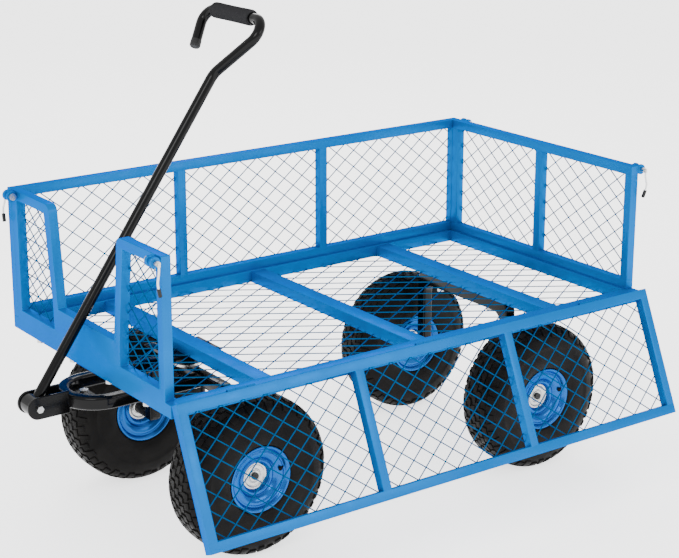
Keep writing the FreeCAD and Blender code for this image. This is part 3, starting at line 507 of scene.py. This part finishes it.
def wires(window, pitch, crossing, place):
    """Two layers of straight wires, one laid over the other and spot welded where they cross."""
    parts = []
    low = Vector((min(p[0] for p in window), min(p[1] for p in window)))
    high = Vector((max(p[0] for p in window), max(p[1] for p in window)))
    crossing = Vector(crossing)
    reach = high - low
    span = reach.x + reach.y * pitch[0] / pitch[1]
    count = int(span / pitch[0]) + 2
    for layer in (1, -1):
        rise = layer * pitch[1] / pitch[0]
        foot = crossing.x - (crossing.y - low.y) / rise
        first = math.floor((low.x - foot) / pitch[0]) - count
        for k in range(first, first + 3 * count):
            start = Vector((foot + k * pitch[0], low.y))
            ends = clipped(start, start + Vector((reach.y / rise, reach.y)), window)
            if not ends:
                continue
            a, b = (place @ Vector((p.x, p.y, layer * WIRE_STEP)) for p in ends)
            if (b - a).length > SHORTEST_WIRE:
                parts.append(rod(a, b, WIRE, 8))
    return parts


def grown(window, amount):
    """The window, grown so that the wires end inside the bars that they are welded to."""
    centre = sum((Vector(p) for p in window), Vector((0, 0))) / len(window)
    return [
        (x + math.copysign(amount, x - centre.x), y + math.copysign(amount, y - centre.y))
        for x, y in window
    ]


def windows(width, dividers):
    """The openings between a fence's bars."""
    starts = [TUBE] + [x + TUBE for x in dividers]
    ends = list(dividers) + [width - TUBE]
    top = FENCE_HEIGHT - TUBE
    return [[(a, TUBE), (b, TUBE), (b, top), (a, top)] for a, b in zip(starts, ends)]


def fence_wires(name, width, dividers, place, crossing, body):
    inside = place @ moved(0, WIRE_DEPTH, 0) @ UPRIGHT
    parts = []
    for window in windows(width, dividers):
        parts += wires(grown(window, WIRE_EMBED), PITCH, crossing, inside)
    piece(name + "_wires", joined(name, parts), "blue_wire", body, [name + "_mesh"])


# ---- fences ----

KNUCKLE = 0.0035  # radius of a hinge's barrel
MIDDLE_KNUCKLE = 0.020
OUTER_KNUCKLE = 0.014
KNUCKLE_GAP = 0.0004
KNUCKLE_EASE = 0.0004
SIDE_HINGES = (0.120, 0.475, 0.830)
REAR_HINGES = (0.080, 0.403)


def fence_bars(width, dividers, place):
    top = FENCE_HEIGHT - TUBE
    parts = [bar((0, 0, z), (width, TUBE, z + TUBE), place) for z in (0, top)]
    for x in (0, *dividers, width - TUBE):
        parts.append(bar((x, 0, TUBE - WELD), (x + TUBE, TUBE, top + WELD), place))
    return parts


def knuckle(start, end, place):
    """A piece of a hinge's barrel, on a fence's hinge line."""
    ends = [place @ Vector((x, -HINGE, HINGE)) for x in (start, end)]
    return rod(*ends, KNUCKLE, 20, KNUCKLE_EASE)


def fence_knuckles(centres, place):
    reach = MIDDLE_KNUCKLE / 2
    return [knuckle(centre - reach, centre + reach, place) for centre in centres]


def side_fence(side, place, crossing):
    body = side + "_side"
    parts = fence_bars(BED_LENGTH, SIDE_DIVIDERS, place) + fence_knuckles(SIDE_HINGES, place)
    piece(body + "_bars", joined(body, parts), "blue_paint", body, [body + "_frame"])
    fence_wires(body, BED_LENGTH, SIDE_DIVIDERS, place, crossing, body)


LATCH_Z = 0.519
LATCH_OUT = 0.0085  # the pins' line, out from an end fence's face
SPOOL_INNER = 0.223  # from the middle plane
SPOOL_OUTER = 0.241
FLANGE = 0.005
FLANGE_RADIUS = 0.00875
NECK_RADIUS = 0.0055
BORE_RADIUS = 0.004


def spools(x, toward):
    """The latch spools of an end fence: a tube with two flanges, on a web."""
    edge = 0.0006
    fillet = 0.0004
    rim = FLANGE_RADIUS - edge
    length = SPOOL_OUTER - SPOOL_INNER
    half = [
        (BORE_RADIUS, 0), (rim, 0), (FLANGE_RADIUS, edge), (FLANGE_RADIUS, FLANGE - edge),
        (rim, FLANGE), (NECK_RADIUS, FLANGE + fillet),
    ]
    profile = half + [(radius, length - height) for radius, height in reversed(half)]
    parts = []
    for side in (-1, 1):
        ends = [at(x, side * y, LATCH_Z) for y in (SPOOL_INNER, SPOOL_OUTER)]
        parts.append(lathe(profile, 36, along(*ends)))
        web_x = sorted((x, x + toward * (LATCH_OUT + 0.001)))
        web_y = sorted((side * (SPOOL_INNER + FLANGE), side * (SPOOL_OUTER - FLANGE)))
        low = at(web_x[0], web_y[0], LATCH_Z - BORE_RADIUS)
        high = at(web_x[1], web_y[1], LATCH_Z + BORE_RADIUS)
        parts.append(bar(low, high, ease=0.0005))
    return parts


def rear_gate():
    parts = fence_bars(END_WIDTH, REAR_DIVIDERS, REAR_PLACE)
    parts += fence_knuckles(REAR_HINGES, REAR_PLACE)
    parts += spools(BED_LENGTH + LATCH_OUT, -1)
    mesh = joined("rear_gate", parts)
    piece("rear_gate_bars", mesh, "blue_paint", "rear_gate", ["rear_gate_frame"])
    fence_wires("rear_gate", END_WIDTH, REAR_DIVIDERS, REAR_PLACE, (0.0876, 0.187), "rear_gate")


# the gap between the two halves of the front fence: its floor, and its half width low and high
GAP_PLATE = 0.0535
GAP_LOW = 0.092
GAP_HIGH = 0.111
GAP_CORNER = 0.014
WINDOW_POINTS = ((0.108, TUBE), (0.2255, TUBE), (0.2255, 0.205), (0.128, 0.205), (0.110, 0.062))


def mirrored(points):
    return [(-x, y) for x, y in reversed(points)]


def front_fence():
    """The fence and the bed's front rail under it read as one face, so the panel covers both."""
    wide = BED_WIDTH / 2
    half = END_WIDTH / 2
    right = [
        (wide, BED_BOTTOM - BED_TOP), (wide, 0), (half, 0), (half, FENCE_HEIGHT),
        (GAP_HIGH, FENCE_HEIGHT), (GAP_LOW, GAP_PLATE),
    ]
    radii = [0.001, 0.0005, 0, 0.002, GAP_CORNER, 0.002]
    outline = rounded(right + mirrored(right), radii + radii[::-1])
    window = rounded(WINDOW_POINTS, [0.001] * len(WINDOW_POINTS), 3)
    facing = moved(at(0, 0, BED_TOP)) @ CROSSWISE
    parts = [plate([outline, window, mirrored(window)], TUBE, EASE, facing)]
    parts += spools(-LATCH_OUT, 1)
    mesh = joined("front_fence", parts)
    piece("front_fence_panel", mesh, "blue_paint", "bed", ["front_fence_frame"])
    back = facing @ moved(0, 0, TUBE - WIRE_DEPTH)
    strands = []
    for opening in (WINDOW_POINTS, mirrored(WINDOW_POINTS)):
        strands += wires(grown(opening, WIRE_EMBED), PITCH, (0.1307, 0.1887), back)
    mesh = joined("front_wires", strands)
    piece("front_fence_wires", mesh, "blue_wire", "bed", ["front_fence_mesh"])


# ---- bed ----

def bed():
    half = BED_WIDTH / 2
    inner = half - RAIL
    parts = []
    for y in (-half, inner):
        parts.append(bar(at(TUBE - WELD / 2, y, BED_BOTTOM), at(BED_LENGTH, y + RAIL, BED_TOP)))
    crossbars = [(TUBE, RAIL, BED_TOP), (BED_LENGTH - RAIL, BED_LENGTH, BED_TOP)]
    crossbars += [(x - MEMBER / 2, x + MEMBER / 2, MEMBER_TOP) for x in MEMBERS]
    for start, end, top in crossbars:
        parts.append(bar(at(start, -inner - WELD, BED_BOTTOM), at(end, inner + WELD, top)))
    lines = [(SIDE_HINGES, RIGHT_PLACE), (SIDE_HINGES, LEFT_PLACE), (REAR_HINGES, REAR_PLACE)]
    for centres, place in lines:
        for centre in centres:
            for s in (-1, 1):
                near = centre + s * (MIDDLE_KNUCKLE / 2 + KNUCKLE_GAP)
                parts.append(knuckle(near, near + s * OUTER_KNUCKLE, place))
    piece("bed_bars", joined("bed", parts), "blue_paint", "bed", ["bed_frame"])


FLOOR_WIRE_Z = 0.2871


def bed_wires():
    half = BED_WIDTH / 2 - RAIL
    starts = [RAIL] + [x + MEMBER / 2 for x in MEMBERS]
    ends = [x - MEMBER / 2 for x in MEMBERS] + [BED_LENGTH - RAIL]
    flat = moved(at(0, 0, FLOOR_WIRE_Z))
    parts = []
    for a, b in zip(starts, ends):
        window = [(a, -half), (b, -half), (b, half), (a, half)]
        parts += wires(grown(window, WIRE_EMBED), FLOOR_PITCH, (MEMBERS[1], 0), flat)
    piece("bed_wires", joined("bed_wires", parts), "blue_wire", "bed", ["floor_mesh"])


# ---- wheels ----

# radius and distance from the middle plane, from the crown to the bead
TYRE_PROFILE = (
    (0.1278, 0.0), (0.1278, 0.010), (0.1274, 0.018), (0.1259, 0.025), (0.1228, 0.0313),
    (0.1172, 0.0363), (0.1108, 0.0399), (0.1045, 0.0418), (0.0990, 0.0427), (0.0970, 0.0430),
    (0.0950, 0.0431), (0.0935, 0.0427), (0.0860, 0.0431), (0.0780, 0.0430), (0.0700, 0.0424),
    (0.0640, 0.0414), (0.0600, 0.0400), (0.0580, 0.0398), (0.0565, 0.0385), (0.0555, 0.0372),
    (0.0540, 0.0366), (0.0503, 0.0366),
)
TREAD_ROWS = (
    # near and far edge across the tread, and the share of a pitch that the row is turned by
    (-0.0048, 0.0048, 0.0),
    (0.0065, 0.0160, 0.5),
    (-0.0160, -0.0065, 0.5),
    (0.0178, 0.0275, 0.0),
    (-0.0275, -0.0178, 0.0),
    (0.0293, 0.0455, 0.5),
    (-0.0455, -0.0293, 0.5),
)
TREAD_PITCHES = 46
BLOCK_HEIGHT = 0.0022
BLOCK_DEPTH = 0.0015  # how far a block's foot lies inside the carcass
BLOCK_CELLS = (3, 2)  # across the tread and around it
SHOULDER = 0.03  # a row that reaches past this wraps over the shoulder
SHOULDER_STEP = 0.005  # by how much every other one of its blocks is shorter
TYRE_STEPS = 144
TYRE_LINING = ((0.0503, 0.030), (0.075, 0.037), (0.110, 0.030), (0.118, 0.0))


def crown(distance):
    """Point and outward normal on the carcass, at a distance along its section from the middle."""
    side = math.copysign(1, distance)
    left = abs(distance)
    for (r1, t1), (r2, t2) in zip(TYRE_PROFILE, TYRE_PROFILE[1:]):
        run = Vector((r2 - r1, t2 - t1))
        if left <= run.length:
            spot = Vector((r1, t1)) + run.normalized() * left
            normal = Vector((run.y, -run.x)).normalized()
            return Vector((spot.x, spot.y * side)), Vector((normal.x, normal.y * side))
        left -= run.length
    raise ValueError("past the bead")


def tread_block(near, far, angle, half_turn, skew):
    """One block: a patch of the crown lifted off it, with sloping walls."""
    part = bmesh.new()
    across, around = BLOCK_CELLS
    layers = []
    for height, shrink in ((-BLOCK_DEPTH, 0.0), (BLOCK_HEIGHT * 0.8, 0.07), (BLOCK_HEIGHT, 0.15)):
        layer = []
        for i in range(across + 1):
            share = i / across * (1 - shrink) + shrink / 2
            spot, normal = crown(near + (far - near) * share)
            row = []
            for j in range(around + 1):
                turn = (2 * j / around - 1) * (1 - shrink) * half_turn
                lean = skew * (share - 0.5) * half_turn
                radius = spot.x + normal.x * height
                width = spot.y + normal.y * height
                theta = angle + turn + lean
                flat = (radius * math.cos(theta), radius * math.sin(theta))
                row.append(part.verts.new((*flat, width)))
            layer.append(row)
        layers.append(layer)
    top = layers[-1]
    for i in range(across):
        for j in range(around):
            part.faces.new((top[i][j], top[i + 1][j], top[i + 1][j + 1], top[i][j + 1]))
    loops = [edge_loop(layer) for layer in layers]
    for low, high in zip(loops, loops[1:]):
        for k in range(len(low)):
            after = (k + 1) % len(low)
            part.faces.new((low[k], low[after], high[after], high[k]))
    return part


def edge_loop(layer):
    """The outer verts of a grid, in order round it."""
    last = len(layer) - 1
    loop = layer[0][:]
    loop += [layer[i][-1] for i in range(1, last)]
    loop += layer[last][::-1]
    loop += [layer[i][0] for i in range(last - 1, 0, -1)]
    return loop


def other_side(profile):
    """The profile's mirror image, in the opposite order."""
    return [(radius, -width) for radius, width in reversed(profile)]


def tyre_mesh():
    """A round carcass with staggered blocks that wrap over its shoulders."""
    outer = other_side(TYRE_PROFILE[1:]) + list(TYRE_PROFILE)
    lining = list(TYRE_LINING) + other_side(TYRE_LINING[:-1])
    parts = [lathe(outer + lining, TYRE_STEPS)]
    pitch = 2 * math.pi / TREAD_PITCHES
    for near, far, stagger in TREAD_ROWS:
        shoulder = max(abs(near), abs(far)) > SHOULDER
        for k in range(TREAD_PITCHES):
            low, high = near, far
            if shoulder and k % 2:
                if far > 0:
                    high -= SHOULDER_STEP
                else:
                    low += SHOULDER_STEP
            skew = (0.35 if k % 2 else -0.35) * (1 if near + far > 0 else -1)
            half_turn = pitch * (0.36 + 0.05 * math.sin(7.3 * k + 40 * near))
            parts.append(tread_block(low, high, (k + stagger) * pitch, half_turn, skew))
    return joined("tyre", parts)


RIM_FACE = (
    (0.0502, 0.0362), (0.0532, 0.0366), (0.0543, 0.0374), (0.0546, 0.0384), (0.0540, 0.0390),
    (0.0525, 0.0390), (0.0508, 0.0385), (0.0493, 0.0370), (0.0482, 0.0346), (0.0470, 0.0330),
    (0.0456, 0.0327), (0.0444, 0.0333), (0.0430, 0.0338), (0.0405, 0.0334), (0.0375, 0.0322),
    (0.0345, 0.0308), (0.0328, 0.0294), (0.0317, 0.0272), (0.0305, 0.0262), (0.0293, 0.0266),
    (0.0280, 0.0272), (0.0262, 0.0272), (0.0246, 0.0262), (0.0236, 0.0244), (0.0228, 0.0215),
    (0.0226, 0.0200),
)
RIM_WELL = ((0.0460, 0.0140), (0.0500, 0.0200))


def rim_mesh():
    """Two pressed dishes back to back, each with a rolled lip and two ring grooves."""
    loop = list(RIM_FACE) + other_side(RIM_FACE) + other_side(RIM_WELL) + list(RIM_WELL)
    return joined("rim", [lathe(loop, 96)])


HUB_FACE = (
    (0.00605, 0.0182), (0.0088, 0.0182), (0.0094, 0.0187), (0.0098, 0.0194), (0.0106, 0.0196),
    (0.0114, 0.0192), (0.0120, 0.0186), (0.0150, 0.0187), (0.0172, 0.0189), (0.0180, 0.0196),
    (0.0186, 0.0206), (0.0196, 0.0210), (0.0216, 0.0210), (0.0224, 0.0206), (0.0225, 0.0198),
    (0.0225, 0.0140),
)


def hub_mesh():
    return joined("hub", [lathe(other_side(HUB_FACE) + list(HUB_FACE), 64)])


VALVE_ANGLE = math.radians(12)
CAP_FOOT = 0.0042
CAP_RIB = 0.0015  # from one rib of the cap to the next


def valve_mesh(side):
    """The stem and its ribbed cap, leaning out of the dish."""
    away = Vector((math.cos(VALVE_ANGLE), math.sin(VALVE_ANGLE), 0))
    if side > 0:
        away = Vector((-away.x, away.y, 0))
    foot = away * 0.0445 + Vector((0, 0, 0.0300))
    head = away * 0.0370 + Vector((0, 0, 0.0366))
    profile = [(0.0036, 0), (0.0036, 0.0020), (0.0029, 0.0028), (0.0029, 0.0038)]
    length = (head - foot).length
    for k in range(3):
        base = CAP_FOOT + k * CAP_RIB
        profile += [(0.0033, base), (0.0033, base + 0.0008), (0.0030, base + 0.0011)]
    profile += [(0.0031, length - 0.0007), (0.0025, length)]
    return joined("valve", [lathe(profile, 24, along(foot, head), closed=False)])


def wheels():
    shared = (
        ("tyre", tyre_mesh(), "tyre_rubber"),
        ("rim", rim_mesh(), "rim_blue"),
        ("hub_bearing", hub_mesh(), "zinc"),
    )
    for corner in ("front_left", "front_right", "rear_left", "rear_right"):
        side = -1 if corner.endswith("left") else 1
        centre = pivot(corner + "_wheel_spin")
        # local Z is outboard, local Y is up
        outboard = Matrix(((-side, 0, 0, 0), (0, 0, side, 0), (0, 1, 0, 0), (0, 0, 0, 1)))
        place = moved(centre) @ outboard
        body = corner + "_wheel"
        for name, mesh, slot in shared:
            own = mesh.copy()
            own.transform(place)
            piece(f"{corner}_{name}_shape", own, slot, body, [f"{corner}_{name}"])
        stem = valve_mesh(side)
        stem.transform(place)
        piece(corner + "_valve_stem", stem, "tube_rubber", body, [corner + "_inner_tube"])


# ---- steering yoke and rear axle ----

LOOP_X = 0.0165  # centre of the yoke's round end
LOOP_INNER = 0.043
BAR_WIDE = 0.020
BAR_LOW = 0.236
BAR_HIGH = 0.258
BAR_EASE = 0.005
AXLE_X = (0.180, 0.770)
AXLE_EASE = 0.003
LEG_BOTTOM = 0.1225
LEG_CORNER = 0.006
REAR_BEAM_BOTTOM = 0.2595


def arc(centre, radius, start, end, steps=32):
    points = []
    for k in range(steps + 1):
        angle = math.radians(start + (end - start) * k / steps)
        points.append((centre[0] + radius * math.cos(angle), centre[1] + radius * math.sin(angle)))
    return points


def arch(half, leg, beam_bottom, beam_top, corner, shoulder, x):
    """An axle: a beam across the cart on two legs that reach down to the stubs."""
    right = [
        (half - leg, beam_bottom), (half - leg, LEG_BOTTOM), (half, LEG_BOTTOM), (half, beam_top),
    ]
    radii = [corner, LEG_CORNER, LEG_CORNER, shoulder]
    outline = rounded(right + mirrored(right), radii + radii[::-1], 10)
    facing = moved(at(x - BAR_WIDE / 2, 0, 0)) @ CROSSWISE
    return plate([outline], BAR_WIDE, AXLE_EASE, facing)


PIVOT = pivot("handle_pitch")
EAR_RADIUS = 0.018
EAR_OUTER = 0.020
EAR_THICK = 0.0055
EAR_END = 0.0525
EAR_EASE = 0.0012
WEB_END = 0.006  # the web fills the loop's round end up to here
WEB_BOTTOM = 0.243
WEB_THICK = 0.004
WEB_EASE = 0.0008
YOKE_WELD = 0.001


def yoke():
    """The loop, the axle arch under its open end, its web and the two ears of the clevis."""
    outer = LOOP_INNER + BAR_WIDE
    back = AXLE_X[0] - BAR_WIDE / 2 + YOKE_WELD
    outline = [(back, outer)] + arc((LOOP_X, 0), outer, 90, 270)
    outline += [(back, -outer), (back, -LOOP_INNER)]
    outline += arc((LOOP_X, 0), LOOP_INNER, 270, 90) + [(back, LOOP_INNER)]
    parts = [plate([outline], BAR_HIGH - BAR_LOW, BAR_EASE, moved(at(0, 0, BAR_LOW)))]
    parts.append(arch(0.128, 0.022, BAR_LOW, BAR_HIGH, 0.020, 0.011, AXLE_X[0]))
    web_radius = LOOP_INNER + YOKE_WELD
    spread = math.degrees(math.acos((LOOP_X - WEB_END) / web_radius))
    web = arc((LOOP_X, 0), web_radius, 180 - spread, 180 + spread, 24)
    parts.append(plate([web], WEB_THICK, WEB_EASE, moved(at(0, 0, WEB_BOTTOM))))
    ear = arc((0, 0), EAR_RADIUS, 90, 270, 24) + [(EAR_END, -EAR_RADIUS), (EAR_END, EAR_RADIUS)]
    for y in (EAR_THICK - EAR_OUTER, EAR_OUTER):
        standing = moved(PIVOT + Vector((0, y, 0))) @ UPRIGHT
        parts.append(plate([ear], EAR_THICK, EAR_EASE, standing))
    piece("yoke_shape", joined("yoke", parts), "black_gloss", "steering", ["steering_yoke"])


def rear_axle():
    parts = [arch(0.126, 0.020, REAR_BEAM_BOTTOM, BED_BOTTOM, 0.020, 0.022, AXLE_X[1])]
    piece("rear_axle_shape", joined("rear_axle", parts), "black_gloss", "bed", ["rear_axle_frame"])


# ---- handle ----

LEAN = math.radians(54.9)
GRIP_LINE = 0.691  # from the pivot, along the handle
GRIP_ENDS = (-0.021, 0.087)
GRIP_RADIUS = 0.0130
GRIP_WAIST = 0.0003
GRIP_SOFT = 0.0040  # length of its rounded ends
GRIP_STEPS = 12


def handle_grip():
    """Foam sleeve with soft ends and a slight waist of finger wear."""
    place = moved(PIVOT) @ turned("Y", -LEAN)
    start, end = (place @ Vector((GRIP_LINE, y, 0)) for y in GRIP_ENDS)
    length = (end - start).length
    soft_end = [
        (0.0088, 0.0), (0.0105, 0.0), (0.0121, 0.0006), (0.0128, 0.0020), (GRIP_RADIUS, GRIP_SOFT),
    ]
    profile = soft_end[:]
    for k in range(1, GRIP_STEPS):
        share = k / GRIP_STEPS
        waist = GRIP_WAIST * math.sin(math.pi * share) ** 2
        profile.append((GRIP_RADIUS - waist, GRIP_SOFT + (length - 2 * GRIP_SOFT) * share))
    profile += [(radius, length - height) for radius, height in reversed(soft_end)]
    mesh = joined("grip", [lathe(profile, 48, along(start, end))])
    piece("grip_sleeve", mesh, "grip_foam", "handle", ["handle_grip"])


# ---- lanyards: the same routes as the CAD tubes ----

PIN_END = 0.2505
EYE_DROP = 0.004
LANYARD_DIAMETER = 0.0032
LANYARDS = {
    # in millimetres from the pin's eye: along the cart, outward and up
    "front_left": [(0, 0, 0), (0, 0, -6), (-1.8, 0.8, -14), (-4.4, 2.2, -23.5), (-2.4, 1.2, -31)],
    "front_right": [(0, 0, 0), (0, 0, -6), (0.6, 3, -14), (-0.8, 7.6, -23), (-1.2, 5.4, -31)],
    "rear_left": [(0, 0, 0), (0, 0, -6), (0.8, 1.2, -13.5), (1.6, 3.4, -22.5), (1, 0.6, -31)],
    "rear_right": [(0, 0, 0), (0, 0, -6), (1.6, 1, -14.5), (2.4, 3.4, -23), (1.4, 1.4, -31.5)],
}


def lanyards():
    for corner, route in LANYARDS.items():
        side = -1 if corner.endswith("left") else 1
        x = -LATCH_OUT if corner.startswith("front") else BED_LENGTH + LATCH_OUT
        start = at(x, side * PIN_END, LATCH_Z - EYE_DROP)
        points = [start + Vector((dx, side * dy, dz)) / 1000 for dx, dy, dz in route]
        curve = bpy.data.curves.new(corner + "_lanyard", "CURVE")
        curve.dimensions = "3D"
        curve.bevel_depth = LANYARD_DIAMETER / 2
        curve.bevel_resolution = 3
        curve.resolution_u = 16
        curve.use_fill_caps = True
        spline = curve.splines.new("NURBS")
        spline.points.add(len(points) - 1)
        for target, point in zip(spline.points, points):
            target.co = (*point, 1)
        spline.order_u = 3
        spline.use_endpoint_u = True
        curve.materials.append(SLOT_MATERIALS["cord_white"])
        cord = bpy.data.objects.new(corner + "_lanyard_cord", curve)
        bpy.context.scene.collection.objects.link(cord)
        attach(cord, corner + "_latch")
        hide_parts(corner + "_lanyard")


# ---- the floor, and everything made ----

def floor():
    sheet = bmesh.new()
    bmesh.ops.create_grid(sheet, x_segments=1, y_segments=1, size=14)
    mesh = bpy.data.meshes.new("floor")
    sheet.to_mesh(mesh)
    sheet.free()
    mesh.materials.append(floor_paint("floor"))
    obj = bpy.data.objects.new("floor", mesh)
    bpy.context.scene.collection.objects.link(obj)


camera()
lights()
floor()
finish_cad_nodes()
lanyards()
bed()
bed_wires()
side_fence("left", LEFT_PLACE, (0.0585, 0.1897))
side_fence("right", RIGHT_PLACE, (0.0475, 0.1887))
rear_gate()
front_fence()
wheels()
yoke()
rear_axle()
handle_grip()
